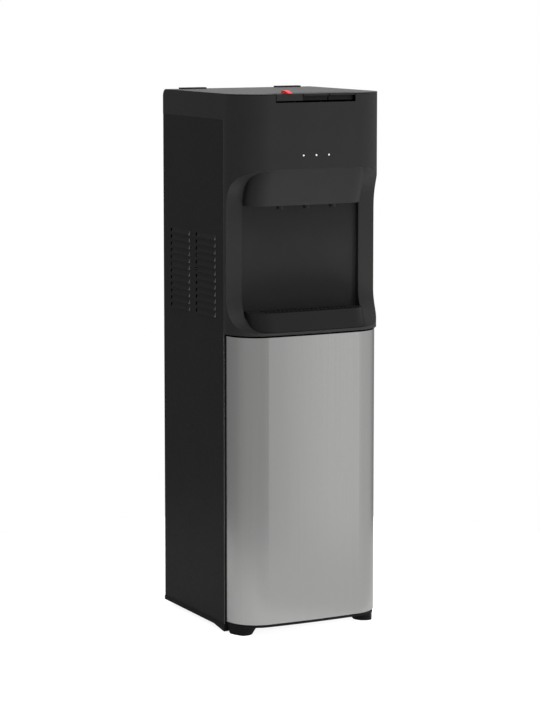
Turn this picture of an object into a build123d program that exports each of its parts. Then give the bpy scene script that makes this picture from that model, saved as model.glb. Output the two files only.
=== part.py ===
from build123d import *
import os
from math import atan2, cos, pi, sin, sqrt

# Bottom-loading water cooler. Millimetres, +Z up, the front faces -Y.
# The origin is on the floor, under the middle of the overall box.

# Cabinet
BODY_W = 320.0
BODY_D = 340.0
REAR_STANDOFF = 22.0
SHEET = 1.2
WALL = 2.5
FLANGE = 14.0
BEND_R = 1.0

# Bowed front, in plan
SEAM_RUN = 2.843
CORNER_R = 66.0
BOW_R = 1730.0

# Clearances
SIDE_GAP = 0.3
SLIDE_GAP = 0.6
RUN_FIT = 0.05
CUT = 1.0

# Heights, from the floor up
FOOT_H = 14.0
BASE_H = 6.5
BASE_SKIN = 3.0
BASE_WALL = 4.0
BASE_INSET = 5.0
BASE_RELIEF_H = 3.0
BASE_RELIEF_IN = 14.0
RAIL_DROP = 5.5
RAIL_W = 10.0
RAIL_PROUD = 1.0
RAIL_NOSE_L = 45.0
RAIL_NOSE_DROP = 6.5
PANEL_LAP = 4.0
DOOR_SILL_GAP = 2.0
DOOR_H = 551.4
DOOR_HEAD_GAP = 3.7
LIP_H = 5.1
SCOOP_H = 308.0
TRAY_H = 35.5
NICHE_H = 202.0
UPPER_H = 141.0
COVER_SKIRT = 48.7
COVER_PLATE = 2.5
COVER_WALL = 2.0
COVER_REAR_R = 14.0

# Feet
FRONT_FOOT_FROM_SIDE = 26.0
FRONT_FOOT_DEPTH = 51.0
FRONT_FOOT_TOP_R = 30.0
FRONT_FOOT_SOLE_R = 21.5
FRONT_FOOT_INSET = 6.0
REAR_FOOT_FROM_SIDE = 38.0
REAR_FOOT_FROM_REAR = 34.0
REAR_FOOT_R = 20.0

# Side louvers
LOUVER_L = 79.0
LOUVER_H = 9.0
LOUVER_PROUD = 2.5
LOUVER_SKIN = 0.9
LOUVER_PITCH = 13.4
LOUVER_ROWS = 12
LOUVER_WINDOW_L = 8.0
LOUVER_WINDOW_H = 7.0
LOUVER_REAR_MARGIN = 42.0
LOUVER_GROUP_GAP = 34.0
LOUVER_ABOVE_SHELF = 32.0

# Scooped fascia, dispensing column and niche
SCOOP_DEPTH = 63.0
SCOOP_DROP = 86.5
SCOOP_RISE = 67.0
SCOOP_TOP_PULL = 0.62
SCOOP_TOP_FALL = 0.17
SCOOP_TOP_TURN = 0.33
SCOOP_LOW_PULL = 0.55
SCOOP_LOW_TURN = 0.45
COLUMN_MARGIN = 35.0
COLUMN_R = 40.0
COLUMN_LEAN = 26.0
NICHE_MARGIN = 1.0
SPLASH_TOP_DEPTH = 9.5
SPLASH_LOW_DEPTH = 10.5
SPLASH_FLANGE = 8.0

# Drip tray and grille
TRAY_WALL = 2.0
TRAY_LEDGE = 3.0
TRAY_LEAN = 14.0
TONGUE_MARGIN = 7.0
TONGUE_H = 10.0
TONGUE_REACH = 9.5
GRILLE_T = 3.0
GRILLE_SLOT_W = 4.0
GRILLE_SLOT_PITCH = 9.0
GRILLE_MARGIN = 6.0

# Push keys, child lock and their board
KEY_W = 54.0
KEY_PITCH = 56.5
KEY_DEPTH = 44.0
KEY_PLATE = 4.0
KEY_FACE = 13.0
KEY_WALL = 2.5
KEY_RECESS = 7.0
KEY_END_GAP = 1.5
KEY_SLOT_H = 16.5
KEY_REAR_GAP = 0.8
KEY_ROD_R = 2.0
KEY_BARREL_R = 4.0
KEY_STEM_DEPTH = 24.0
KEY_STEM = 6.0
KEY_STEM_L = 9.0
KEY_TRAVEL = 2.0
EAR_T = 6.0
KEY_TRAY_DEPTH = 26.0
KEY_TRAY_T = 2.0
BOARD_T = 1.6
SWITCH_W = 12.0
LOCK_W = 9.0
LOCK_L = 27.0
LOCK_LOW = 2.0
LOCK_HIGH = 5.5
LOCK_STEM_W = 6.0
LOCK_STEM_L = 8.0
LOCK_TRAVEL = 5.0
LOCK_FOOT_H = 1.5

# Indicator lamps
LAMP_PITCH = 27.0
LAMP_R = 1.75
LAMP_RISE = 25.3
LAMP_FLANGE_R = 3.0
LAMP_DEPTH = 2.4
LAMP_BOARD_HALF = 42.0
LAMP_BOARD_H = 18.0
LAMP_POST_R = 3.0

# Spouts, tap valves and hoses
SPOUT_R = 6.0
SPOUT_BORE_R = 4.0
SPOUT_DROP = 7.0
SPOUT_FLANGE_R = 10.0
SPOUT_FLANGE_T = 3.5
SPOUT_DEPTH = 41.0
VALVE_W = 32.0
VALVE_D = 38.0
VALVE_AHEAD = 10.0
VALVE_H = 46.0
VALVE_COIL_H = 15.3
HOSE_R = 4.5
HOSE_BEND = 27.0
HOSE_END_RUN = 0.3
STUB_L = 6.0

# Shelves
SHELF_T = 2.0
TANK_SHELF_DROP = 30.0
SHELF_SETBACK = 18.0

# Tanks
HOT_R = 48.0
HOT_H = 150.0
HOT_SKIN = 1.0
HOT_LINK_DROP = 30.0
HEATER_T = 4.0
HEATER_H = 28.0
HEATER_RISE = 18.0
TANK_SIDE_GAP = 10.0
TANK_REAR_GAP = 16.0
FOAM_D = 190.0
FOAM_TUB_H = 168.0
FOAM_LID_H = 27.0
FOAM_FLOOR = 16.0
COLD_R = 62.0
COLD_HEAD_GAP = 12.0
COLD_SKIN = 1.0
SLEEVE_T = 7.0

# Refrigeration
COMPRESSOR_FROM_SIDE = 94.0
COMPRESSOR_FROM_REAR = 122.0
COMPRESSOR_R = 62.0
COMPRESSOR_H = 128.0
COMPRESSOR_ROUND = 24.0
COMPRESSOR_PLATE_W = 150.0
COMPRESSOR_PLATE_D = 104.0
COMPRESSOR_PLATE_T = 3.0
GROMMET_R = 9.0
GROMMET_H = 12.0
GROMMET_INSET = 12.0
LINE_R = 4.0
SUCTION_OFFSET = 30.0
DISCHARGE_RISE = 60.0
CONDENSER_MARGIN = 48.0
CONDENSER_PITCH = 36.0
CONDENSER_RUNS = 12
CONDENSER_ABOVE_BASE = 90.0
CONDENSER_TUBE_R = 2.5
CONDENSER_BEND_R = 9.0
CONDENSER_REAR_GAP = 6.0
WIRE_R = 0.8
WIRE_PITCH = 13.0
WIRE_GAP = 0.2
SPACER_W = 16.0
SPACER_H = 24.0

# Pump, probe and power box
PUMP_FROM_SIDE = 48.0
PUMP_FROM_REAR = 46.0
PUMP_W = 62.0
PUMP_D = 56.0
PUMP_H = 46.0
PUMP_FOOT_H = 12.0
PUMP_FOOT_R = 7.0
MOTOR_R = 21.0
MOTOR_H = 44.0
PROBE_CAP_R = 27.0
PROBE_CAP_H = 34.0
PROBE_TUBE_R = 7.0
PROBE_L = 330.0
PROBE_HEAD_ROOM = 48.0
CRADLE_T = 6.0
POWER_W = 88.0
POWER_D = 78.0
POWER_H = 62.0

# Bottle compartment
LINER_T = 2.0
LINER_SIDE_GAP = 6.0
LINER_REAR_GAP = 5.0

# Door and hinge
DOOR_INSET = 3.5
DOOR_SKIN = 1.2
DOOR_THICK = 13.0
DOOR_LINER_T = 2.0
DOOR_CAP_H = 12.0
DOOR_REAR_GAP = 2.0
HINGE_EDGE = 8.5
HINGE_ROUND = 10.0
HINGE_PIN_R = 3.0
HINGE_PIN_L = 11.0
HINGE_PLATE_T = 2.0
HINGE_PLATE_REACH = 18.0
HINGE_PLATE_EDGE = 7.0
HINGE_PLATE_TAIL = 26.0
HINGE_BOSS_R = 6.0
MAGNET_W = 6.0
MAGNET_L = 60.0
MAGNET_T = 1.6

# Rear fittings
SCREW_ROWS = 5
SCREW_R = 1.6
SCREW_HEAD_R = 3.5
SCREW_HEAD_H = 2.2
SCREW_HOLE_GAP = 0.2
SCREW_TAIL = 3.6
SCREW_END_MARGIN = 60.0
BEZEL_W = 64.0
BEZEL_H = 38.0
BEZEL_T = 3.0
BEZEL_DEPTH = 16.0
BEZEL_FROM_SIDE = 76.0
BEZEL_BELOW_COVER = 46.0
ROCKER_W = 20.0
ROCKER_H = 26.0
ROCKER_PITCH = 28.0
ROCKER_T = 9.0
ROCKER_PIN_R = 2.0
ROCKER_PIN_L = 2.0
ROCKER_GAP = 1.2
ROCKER_HEEL = 3.9
ROCKER_DISH = 1.5
DRAIN_R = 8.0
DRAIN_BORE_R = 5.0
DRAIN_FLANGE_R = 14.0
DRAIN_FLANGE_T = 2.5
DRAIN_BELOW_SHELF = 30.0
DRAIN_OUT = 10.0
DRAIN_CAP_WALL = 2.5
DRAIN_CAP_L = 12.0
GLAND_FROM_SIDE = 48.0
GLAND_RISE = 40.0
GLAND_R = 9.0
GLAND_BORE_R = 4.0
GLAND_FLANGE_R = 12.0
GLAND_FLANGE_T = 3.0
PAD_FROM_SIDE = 55.0
PAD_W = 54.0
PAD_D = 14.0
PAD_T = 2.5

# Places worked out from the sizes above
HALF = BODY_W / 2
INNER_HALF = HALF - SHEET
Y_FRONT = -(BODY_D + REAR_STANDOFF) / 2
Y_REAR = Y_FRONT + BODY_D
CORNER_DEPTH = BOW_R - sqrt((BOW_R - CORNER_R) ** 2 - (HALF - CORNER_R) ** 2)
SEAM_DEPTH = CORNER_DEPTH + SEAM_RUN
Y_SEAM = Y_FRONT + SEAM_DEPTH
Y_WALL = Y_REAR + REAR_STANDOFF
Y_MID = Y_FRONT + SCOOP_DEPTH
Y_BACK_IN = Y_REAR - 2 * SHEET
Y_BACK_OUT = Y_REAR - SHEET
BASE_TOP = FOOT_H + BASE_H
PANEL_BOTTOM = BASE_TOP - PANEL_LAP
DOOR_BOTTOM = BASE_TOP + DOOR_SILL_GAP
DOOR_TOP = DOOR_BOTTOM + DOOR_H
FASCIA_BOTTOM = DOOR_TOP + DOOR_HEAD_GAP
SHELF_TOP = FASCIA_BOTTOM + SHELF_T
SCOOP_BOTTOM = FASCIA_BOTTOM + LIP_H
SCOOP_TOP = SCOOP_BOTTOM + SCOOP_H
TRAY_TOP = SCOOP_BOTTOM + TRAY_H
NICHE_TOP = TRAY_TOP + NICHE_H
TOP = SCOOP_TOP + UPPER_H
COVER_BOTTOM = TOP - COVER_SKIRT
COVER_UNDER = TOP - COVER_PLATE
TANK_SHELF_UNDER = NICHE_TOP - TANK_SHELF_DROP
TANK_FLOOR = TANK_SHELF_UNDER + SHELF_T
SHELF_FRONT = Y_SEAM + SHELF_SETBACK
COLUMN_HALF = HALF - COLUMN_MARGIN
NICHE_HALF = COLUMN_HALF + NICHE_MARGIN
TONGUE_HALF = COLUMN_HALF - TONGUE_MARGIN
SPLASH_FRONT = Y_MID + WALL
SPLASH_TOP = NICHE_TOP - SIDE_GAP
SPLASH_FLOOR = TRAY_TOP - TONGUE_H - SIDE_GAP
SPLASH_BOTTOM = SPLASH_FLOOR - WALL
KEY_REAR = Y_FRONT + KEY_DEPTH
KEY_SLOT_HALF = KEY_PITCH + KEY_W / 2 + KEY_END_GAP
ROD_Y = KEY_REAR - KEY_BARREL_R
ROD_Z = TOP - KEY_PLATE - KEY_BARREL_R
KEY_TRAY_TOP = TOP - KEY_TRAY_DEPTH
STEM_Y = Y_FRONT + KEY_STEM_DEPTH
STEM_BOTTOM = TOP - KEY_PLATE - KEY_STEM_L
LOCK_STEM_FRONT = Y_FRONT + (LOCK_L - LOCK_STEM_L) / 2
LAMP_Z = SCOOP_TOP + LAMP_RISE
LAMP_BOARD_Y = Y_FRONT + WALL + LAMP_DEPTH
SPOUT_Y = Y_FRONT + SPOUT_DEPTH
COLUMN_FLOOR = NICHE_TOP + WALL
VALVE_BOTTOM = COLUMN_FLOOR + SPOUT_FLANGE_T
VALVE_FRONT = SPOUT_Y - VALVE_AHEAD
VALVE_REAR = VALVE_FRONT + VALVE_D
INLET_Z = VALVE_BOTTOM + VALVE_H / 2
HOT_OUTER_R = HOT_R + SIDE_GAP + HEATER_T
HOT_X = -(INNER_HALF - TANK_SIDE_GAP - HOT_OUTER_R)
FOAM_LEFT = HOT_X + HOT_OUTER_R + TANK_SIDE_GAP
FOAM_RIGHT = INNER_HALF - TANK_SIDE_GAP
FOAM_X = (FOAM_LEFT + FOAM_RIGHT) / 2
FOAM_REAR = Y_BACK_IN - TANK_REAR_GAP
FOAM_FRONT = FOAM_REAR - FOAM_D
FOAM_Y = (FOAM_FRONT + FOAM_REAR) / 2
HOT_Y = FOAM_Y
FOAM_SPLIT = TANK_FLOOR + FOAM_TUB_H
FOAM_TOP = FOAM_SPLIT + FOAM_LID_H
COLD_BOTTOM = TANK_FLOOR + FOAM_FLOOR
COLD_TOP = FOAM_SPLIT - COLD_HEAD_GAP
SLEEVE_R = COLD_R + SIDE_GAP + SLEEVE_T
COMPRESSOR_X = HALF - COMPRESSOR_FROM_SIDE
COMPRESSOR_Y = Y_REAR - COMPRESSOR_FROM_REAR
PLATE_BOTTOM = SHELF_TOP + GROMMET_H
PLATE_TOP = PLATE_BOTTOM + COMPRESSOR_PLATE_T
COMPRESSOR_TOP = PLATE_TOP + COMPRESSOR_H
DISCHARGE_Z = PLATE_TOP + DISCHARGE_RISE
CONDENSER_HALF = HALF - CONDENSER_MARGIN
CONDENSER_Y = Y_WALL - CONDENSER_REAR_GAP - CONDENSER_TUBE_R
CONDENSER_LOW = BASE_TOP + CONDENSER_ABOVE_BASE
SPACER_X = CONDENSER_HALF - CONDENSER_BEND_R - SPACER_W / 2 - SLIDE_GAP
CONDENSER_HIGH = CONDENSER_LOW + (CONDENSER_RUNS - 1) * CONDENSER_PITCH
PUMP_X = PUMP_FROM_SIDE - HALF
PUMP_Y = Y_REAR - PUMP_FROM_REAR
PUMP_BOTTOM = SHELF_TOP + PUMP_FOOT_H
PUMP_TOP = PUMP_BOTTOM + PUMP_H
LINER_HALF = INNER_HALF - LINER_SIDE_GAP
LINER_REAR = Y_BACK_IN - LINER_REAR_GAP
LINER_FRONT = Y_SEAM + SHEET
LINER_TOP = FASCIA_BOTTOM - HINGE_PLATE_T - SIDE_GAP
PROBE_TOP = FASCIA_BOTTOM - PROBE_HEAD_ROOM
DOOR_REAR = Y_SEAM - DOOR_REAR_GAP
HINGE_X = HALF - DOOR_INSET - HINGE_EDGE
HINGE_Y = DOOR_REAR - HINGE_ROUND
BEZEL_X = HALF - BEZEL_FROM_SIDE
BEZEL_Z = COVER_BOTTOM - BEZEL_BELOW_COVER
ROCKER_Y = Y_BACK_OUT + BEZEL_T - 2 * ROCKER_PIN_R
DRAIN_Z = TANK_SHELF_UNDER - DRAIN_BELOW_SHELF
DRAIN_END = Y_BACK_OUT + DRAIN_FLANGE_T + DRAIN_OUT
GLAND_X = GLAND_FROM_SIDE - HALF
GLAND_Z = BASE_TOP + GLAND_RISE
KEY_CENTRES = (-KEY_PITCH, 0.0, KEY_PITCH)
FAR = BODY_W


# Plain shapes

def block(x0, x1, y0, y1, z0, z1):
    """A box between two corners."""
    return Pos((x0 + x1) / 2, (y0 + y1) / 2, (z0 + z1) / 2) * Box(x1 - x0, y1 - y0, z1 - z0)


def post(x, y, z0, z1, radius):
    """An upright round bar."""
    return Pos(x, y, (z0 + z1) / 2) * Cylinder(radius, z1 - z0)


def bar_y(x, z, y0, y1, radius):
    """A round bar along Y."""
    return Pos(x, (y0 + y1) / 2, z) * Rot(90, 0, 0) * Cylinder(radius, y1 - y0)


def bar_x(y, z, x0, x1, radius):
    """A round bar along X."""
    return Pos((x0 + x1) / 2, y, z) * Rot(0, 90, 0) * Cylinder(radius, x1 - x0)


def rise(face, z0, z1):
    """A level face drawn up from z0 to z1."""
    return Pos(0, 0, z0) * extrude(face, amount=z1 - z0, dir=(0, 0, 1))


def lean(face, z0, z1, back0, back1):
    """A level face drawn up from z0 to z1, set back by its own run at each end."""
    run = Vector(0, back1 - back0, z1 - z0)
    return extrude(Pos(0, back0, z0) * face, amount=run.length, dir=run)


def prism_x(points, x0, x1):
    """A YZ outline drawn along X."""
    face = Face(Wire.make_polygon([(x0, y, z) for y, z in points]))
    return extrude(face, amount=x1 - x0, dir=(1, 0, 0))


def tube(points, radius, bend):
    """A round bar along straight runs with tangent bends."""
    path = FilletPolyline(*points, radius=bend) if len(points) > 2 else Line(*points)
    section = Plane(origin=path @ 0, z_dir=path % 0) * Circle(radius)
    return sweep(section, path=path)


def group(shapes):
    """Separate solids kept in one node."""
    return Compound(children=list(shapes))


# The bowed plan shared by the fascia, the cover, the base, the keys and the door

def bowed_face(half, corner, bow, y_front, y_back):
    """A level face with a bowed front edge, two round corners and straight sides."""
    drop = sqrt((bow - corner) ** 2 - (half - corner) ** 2)
    y_corner = y_front + bow - drop
    turn = atan2(half - corner, drop)

    def on_corner(angle):
        return half - corner + corner * sin(angle), y_corner - corner * cos(angle)

    join_x, join_y = on_corner(turn)
    mid_x, mid_y = on_corner((pi / 2 + turn) / 2)
    edges = [
        Line((-half, y_back), (-half, y_corner)),
        ThreePointArc((-half, y_corner), (-mid_x, mid_y), (-join_x, join_y)),
        ThreePointArc((-join_x, join_y), (0, y_front), (join_x, join_y)),
        ThreePointArc((join_x, join_y), (mid_x, mid_y), (half, y_corner)),
        Line((half, y_corner), (half, y_back)),
        Line((half, y_back), (-half, y_back)),
    ]
    return Face(Wire(edges))


def plan(inset, y_back):
    """The cabinet's plan, drawn in by an even inset."""
    return bowed_face(HALF - inset, CORNER_R - inset, BOW_R - inset, Y_FRONT + inset, y_back)


def column_plan(inset, y_back):
    """The dispensing column's plan, drawn in by an even inset."""
    return bowed_face(COLUMN_HALF - inset, COLUMN_R - inset, BOW_R - inset, Y_FRONT + inset, y_back)


def column(inset, y_back, z0, z1):
    """The dispensing column from z0 to z1, leaning back below the top of the scoop."""
    face = column_plan(inset, y_back)
    back = COLUMN_LEAN * (SCOOP_TOP - z0) / (SCOOP_TOP - NICHE_TOP)
    return lean(face, z0, SCOOP_TOP, back, 0) + rise(face, SCOOP_TOP, z1)


def scoop(grow):
    """The scooped hollow of the fascia as a solid, grown evenly."""
    mid = Y_MID + grow
    depth = mid - Y_FRONT
    top = SCOOP_TOP + grow
    bottom = SCOOP_BOTTOM - grow
    ahead = Y_FRONT - SCOOP_DEPTH
    upper_end = SCOOP_TOP - SCOOP_DROP
    lower_end = SCOOP_BOTTOM + SCOOP_RISE
    drop = top - upper_end
    climb = lower_end - bottom
    edges = [
        Line((0, ahead, top), (0, Y_FRONT, top)),
        Bezier(
            (0, Y_FRONT, top),
            (0, Y_FRONT + SCOOP_TOP_PULL * depth, top - SCOOP_TOP_FALL * drop),
            (0, mid, top - SCOOP_TOP_TURN * drop),
            (0, mid, upper_end),
        ),
        Line((0, mid, upper_end), (0, mid, lower_end)),
        Bezier(
            (0, mid, lower_end),
            (0, mid, bottom + SCOOP_LOW_TURN * climb),
            (0, Y_FRONT + SCOOP_LOW_PULL * depth, bottom),
            (0, Y_FRONT, bottom),
        ),
        Line((0, Y_FRONT, bottom), (0, ahead, bottom)),
        Line((0, ahead, bottom), (0, ahead, top)),
    ]
    return extrude(Face(Wire(edges)), amount=FAR, both=True, dir=(1, 0, 0))


# Base and feet

def hinge_plate(grow):
    """The outline of a hinge plate as a level face: a foot under the cabinet and an arm to the pin."""
    left = HINGE_X - HINGE_PLATE_REACH
    arm = block(
        left - grow, HINGE_X + HINGE_PLATE_EDGE + grow,
        HINGE_Y - HINGE_PLATE_EDGE - grow, Y_SEAM - SIDE_GAP + grow, 0, HINGE_PLATE_T,
    )
    tail = block(
        left - grow, HALF - FLANGE - SIDE_GAP + grow,
        Y_SEAM - SIDE_GAP - HINGE_PLATE_EDGE, Y_SEAM + HINGE_PLATE_TAIL + grow, 0, HINGE_PLATE_T,
    )
    return arm + tail


def front_foot_place(side):
    return side * (HALF - FRONT_FOOT_FROM_SIDE), Y_FRONT + FRONT_FOOT_DEPTH


def rear_foot_place(side):
    return side * (HALF - REAR_FOOT_FROM_SIDE), Y_REAR - REAR_FOOT_FROM_REAR


def base_pan():
    """The moulded base with a hollow underside, foot bosses and two side rails."""
    y_back = Y_BACK_OUT - SIDE_GAP
    pan = rise(plan(BASE_INSET, y_back), FOOT_H, BASE_TOP)
    relief = rise(plan(0, Y_SEAM - SIDE_GAP), FOOT_H, FOOT_H + BASE_RELIEF_H)
    relief -= rise(plan(BASE_INSET + BASE_RELIEF_IN, Y_SEAM), FOOT_H, FOOT_H + BASE_RELIEF_H)
    pan -= relief
    wall_in = BASE_INSET + BASE_RELIEF_IN + BASE_WALL
    pan -= rise(plan(wall_in, y_back - BASE_WALL), FOOT_H, BASE_TOP - BASE_SKIN)
    for side in (-1, 1):
        fx, fy = front_foot_place(side)
        rx, ry = rear_foot_place(side)
        boss = post(fx, fy, FOOT_H, BASE_TOP, FRONT_FOOT_TOP_R)
        pan += boss & rise(plan(BASE_INSET, y_back), FOOT_H, BASE_TOP)
        pan += post(rx, ry, FOOT_H, BASE_TOP, REAR_FOOT_R)
        outer = HALF + RAIL_PROUD
        inner = outer - RAIL_W
        x0, x1 = sorted((side * inner, side * outer))
        pan += block(x0, x1, Y_SEAM, Y_REAR, FOOT_H - RAIL_DROP, PANEL_BOTTOM)
        low = FOOT_H - RAIL_DROP
        nose = [(Y_SEAM, low), (Y_SEAM + RAIL_NOSE_L, low), (Y_SEAM, low - RAIL_NOSE_DROP)]
        pan += prism_x(nose, x0, x1)
    pan -= Pos(0, 0, BASE_TOP - HINGE_PLATE_T) * hinge_plate(SIDE_GAP)
    return pan


def front_foot(side):
    """A tapered foot under a front corner, trimmed to the cabinet's plan."""
    fx, fy = front_foot_place(side)
    cone = Pos(fx, fy, FOOT_H / 2) * Cone(FRONT_FOOT_SOLE_R, FRONT_FOOT_TOP_R, FOOT_H)
    return cone & rise(plan(FRONT_FOOT_INSET, Y_SEAM - SIDE_GAP), 0, FOOT_H)


def rear_feet():
    return group(post(*rear_foot_place(side), 0, FOOT_H, REAR_FOOT_R) for side in (-1, 1))


# Sheet panels

def louver_places():
    """The middle of each louver in Y, and its height."""
    rear_group = Y_REAR - LOUVER_REAR_MARGIN - LOUVER_L / 2
    front_group = rear_group - LOUVER_L - LOUVER_GROUP_GAP
    low = FASCIA_BOTTOM + LOUVER_ABOVE_SHELF
    return [(y, low + row * LOUVER_PITCH) for y in (rear_group, front_group) for row in range(LOUVER_ROWS)]


def louver_wedge(face_x, side, proud, top, bottom, length):
    """A wedge on a panel face: flush at the top, proud at the bottom, with a sloping front end."""
    crest = face_x + side * proud
    corners = [(face_x, top), (face_x, bottom), (crest, bottom)]
    face = Face(Wire.make_polygon([(x, -length / 2, z) for x, z in corners]))
    outline = [
        (face_x, -length / 2), (crest, proud - length / 2), (crest, length / 2), (face_x, length / 2),
    ]
    slope = Face(Wire.make_polygon([(x, y, bottom) for x, y in outline]))
    wedge = extrude(face, amount=length, dir=(0, 1, 0))
    return wedge & extrude(slope, amount=top - bottom, dir=(0, 0, 1))


def side_panel(side):
    """A folded steel side with front and rear flanges and two groups of pressed louvers."""
    outer = side * HALF
    x0, x1 = sorted((outer, side * INNER_HALF))
    panel = block(x0, x1, Y_SEAM, Y_REAR, PANEL_BOTTOM, COVER_BOTTOM)
    f0, f1 = sorted((outer, side * (HALF - FLANGE)))
    panel += block(f0, f1, Y_SEAM, Y_SEAM + SHEET, BASE_TOP, COVER_BOTTOM)
    panel += block(f0, f1, Y_BACK_OUT, Y_REAR, BASE_TOP, COVER_BOTTOM)
    bends = panel.edges().filter_by(Axis.Z).group_by(Axis.X)[-1 if side > 0 else 0]
    panel = fillet(bends, BEND_R)
    hood = louver_wedge(outer, side, LOUVER_PROUD, LOUVER_H / 2, -LOUVER_H / 2, LOUVER_L)
    low = -LOUVER_H / 2 - LOUVER_SKIN
    mouth_l = LOUVER_L - 2 * LOUVER_SKIN
    mouth = louver_wedge(outer, side, LOUVER_PROUD - LOUVER_SKIN, LOUVER_H / 2 - LOUVER_SKIN, low, mouth_l)
    m0, m1 = sorted((outer, side * (INNER_HALF - SHEET)))
    mouth += block(m0, m1, -mouth_l / 2, mouth_l / 2, -LOUVER_H / 2, LOUVER_H / 2 - 2 * LOUVER_SKIN)
    window_y = LOUVER_L / 2 + SIDE_GAP + LOUVER_WINDOW_L / 2
    window = Pos(outer, window_y, 0) * Box(4 * SHEET, LOUVER_WINDOW_L, LOUVER_WINDOW_H)
    places = [Pos(0, y, z) for y, z in louver_places()]
    panel = panel.fuse(*[place * hood for place in places])
    panel = panel.cut(*[place * mouth for place in places], *[place * window for place in places])
    hole_r = SCREW_R + SCREW_HOLE_GAP
    return panel.cut(*[bar_y(x, z, Y_BACK_IN, Y_REAR + CUT, hole_r) for x, z in screw_places(side)])


def screw_places(side):
    """Screws down one rear flange, as X and Z."""
    low = BASE_TOP + SCREW_END_MARGIN
    step = (COVER_BOTTOM - SCREW_END_MARGIN - low) / (SCREW_ROWS - 1)
    return [(side * (HALF - FLANGE / 2), low + row * step) for row in range(SCREW_ROWS)]


def back_panel():
    """The rear sheet inside the side flanges, with holes for the screws and rear fittings."""
    panel = block(
        SIDE_GAP - INNER_HALF, INNER_HALF - SIDE_GAP, Y_BACK_IN, Y_BACK_OUT,
        BASE_TOP + SIDE_GAP, COVER_BOTTOM - SIDE_GAP,
    )
    holes = [
        bar_y(x, z, Y_BACK_IN - CUT, Y_REAR, SCREW_R + SCREW_HOLE_GAP)
        for side in (-1, 1) for x, z in screw_places(side)
    ]
    holes.append(bar_y(HOT_X, DRAIN_Z, Y_BACK_IN - CUT, Y_REAR, DRAIN_R + SIDE_GAP))
    holes.append(bar_y(GLAND_X, GLAND_Z, Y_BACK_IN - CUT, Y_REAR, GLAND_R + SIDE_GAP))
    holes.append(bar_y(COMPRESSOR_X, DISCHARGE_Z, Y_BACK_IN - CUT, Y_REAR, LINE_R + SIDE_GAP))
    body_w = BEZEL_W - 2 * BEZEL_T + 2 * SIDE_GAP
    body_h = BEZEL_H - 2 * BEZEL_T + 2 * SIDE_GAP
    holes.append(Pos(BEZEL_X, Y_BACK_IN, BEZEL_Z) * Box(body_w, 4 * SHEET, body_h))
    return panel.cut(*holes)


def back_screws():
    """Pan-head screws that hold the rear sheet to the side flanges."""
    shapes = []
    for side in (-1, 1):
        for x, z in screw_places(side):
            head = bar_y(x, z, Y_REAR, Y_REAR + SCREW_HEAD_H, SCREW_HEAD_R)
            shapes.append(head + bar_y(x, z, Y_BACK_IN - SCREW_TAIL, Y_REAR, SCREW_R))
    return group(shapes)


# Top cover

def top_cover():
    """The glossy lid: a plate over the whole top and a skirt round the sides and the rear."""
    shell = rise(plan(0, Y_REAR), COVER_BOTTOM, TOP)
    rear_edge = shell.edges().filter_by(Axis.X).group_by(Axis.Z)[-1].sort_by(Axis.Y)[-1]
    shell = fillet(rear_edge, COVER_REAR_R)
    hollow = block(
        COVER_WALL - HALF, HALF - COVER_WALL, Y_FRONT - CUT, Y_REAR - COVER_WALL,
        COVER_BOTTOM - CUT, COVER_UNDER,
    )
    hollow_edge = hollow.edges().filter_by(Axis.X).group_by(Axis.Z)[-1].sort_by(Axis.Y)[-1]
    hollow = fillet(hollow_edge, COVER_REAR_R - COVER_WALL)
    ahead = block(-FAR, FAR, Y_FRONT - CUT, Y_SEAM, COVER_BOTTOM - CUT, COVER_UNDER)
    slot = block(
        -KEY_SLOT_HALF, KEY_SLOT_HALF, Y_FRONT - CUT, KEY_REAR + KEY_REAR_GAP, COVER_UNDER - CUT, TOP + CUT,
    )
    cover = shell - hollow - ahead - slot
    pad_y = Y_REAR - COVER_REAR_R - PAD_D
    for side in (-1, 1):
        x = side * (HALF - PAD_FROM_SIDE)
        cover += block(x - PAD_W / 2, x + PAD_W / 2, pad_y, pad_y + PAD_D, COVER_UNDER, TOP + PAD_T)
    return cover


# Front fascia and niche

def front_fascia():
    """The moulded upper front: a bowed shell with a scooped hollow and the upper dispensing column."""
    block_out = rise(plan(0, Y_SEAM), FASCIA_BOTTOM, COVER_UNDER)
    column_out = column(0, Y_SEAM, NICHE_TOP, SCOOP_TOP + WALL)
    outside = block_out - (scoop(0) - column_out)
    block_in = rise(plan(WALL, Y_SEAM + CUT), FASCIA_BOTTOM + WALL, COVER_UNDER + CUT)
    column_in = column(WALL, Y_SEAM + CUT, COLUMN_FLOOR, SCOOP_TOP + 3 * WALL)
    inside = block_in - (scoop(WALL) - column_in)
    fascia = outside - inside
    fascia -= block(-NICHE_HALF, NICHE_HALF, Y_MID - SCOOP_DEPTH / 2, Y_SEAM + CUT, SPLASH_BOTTOM, NICHE_TOP)
    slot_rear = Y_FRONT + 2 * KEY_RECESS
    fascia -= block(-KEY_SLOT_HALF, KEY_SLOT_HALF, Y_FRONT - CUT, slot_rear, TOP - KEY_SLOT_H, TOP)
    for x in KEY_CENTRES:
        fascia -= post(x, SPOUT_Y, NICHE_TOP - CUT, COLUMN_FLOOR + CUT, SPOUT_R + SIDE_GAP)
    for x in (-LAMP_PITCH, 0, LAMP_PITCH):
        fascia -= bar_y(x, LAMP_Z, Y_FRONT - CUT, Y_FRONT + 2 * WALL, LAMP_R + SIDE_GAP)
    for side in (-1, 1):
        x = side * (LAMP_BOARD_HALF - LAMP_POST_R)
        fascia += bar_y(x, LAMP_Z, Y_FRONT + WALL, LAMP_BOARD_Y, LAMP_POST_R)
    return fascia


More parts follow.
